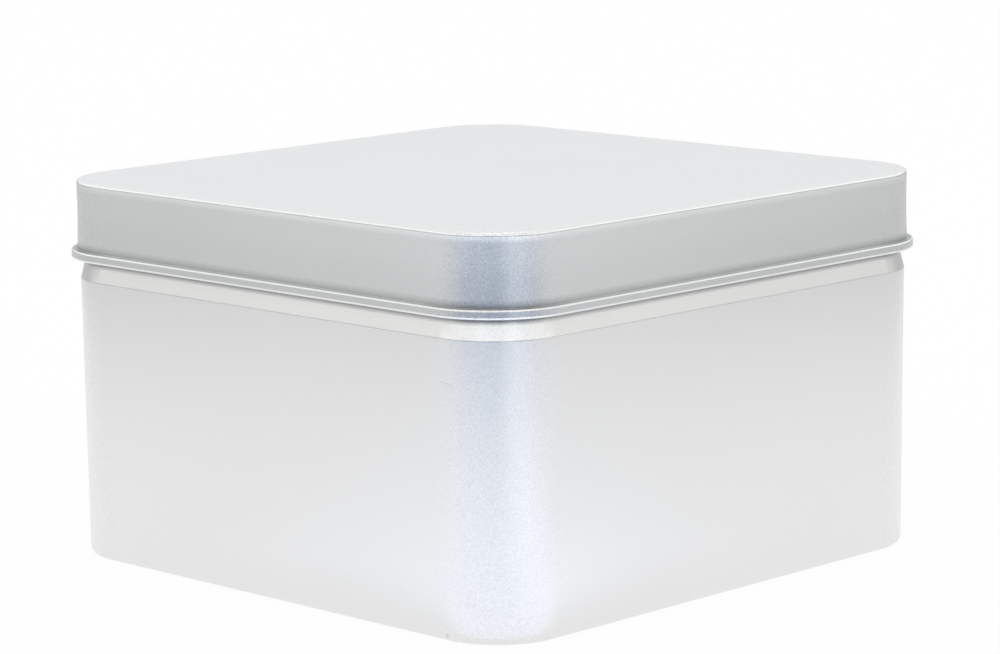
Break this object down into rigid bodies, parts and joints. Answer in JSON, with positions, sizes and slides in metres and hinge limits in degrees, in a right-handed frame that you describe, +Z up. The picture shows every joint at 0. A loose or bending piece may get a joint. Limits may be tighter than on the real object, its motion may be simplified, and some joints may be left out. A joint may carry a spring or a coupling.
{
  "type": "square slip-lid tin",
  "caption": "Plain square metal tin with rounded corners, shut by a slip-on lid with a curled edge over a necked shoulder.",
  "frame": {"origin": "centre of the base, on the surface that the tin stands on", "axes": "+Z up through the lid; +X and +Y square to the walls"},
  "size_m": [0.1024, 0.1024, 0.0605],
  "materials": {
    "body_tinplate": "plain satin tinplate, unprinted",
    "lid_tinplate": "plain satin tinplate, unprinted"
  },
  "bodies": {
    "root": {"tin_body": "body_tinplate", "lid": "lid_tinplate"}
  },
  "joints": []
}
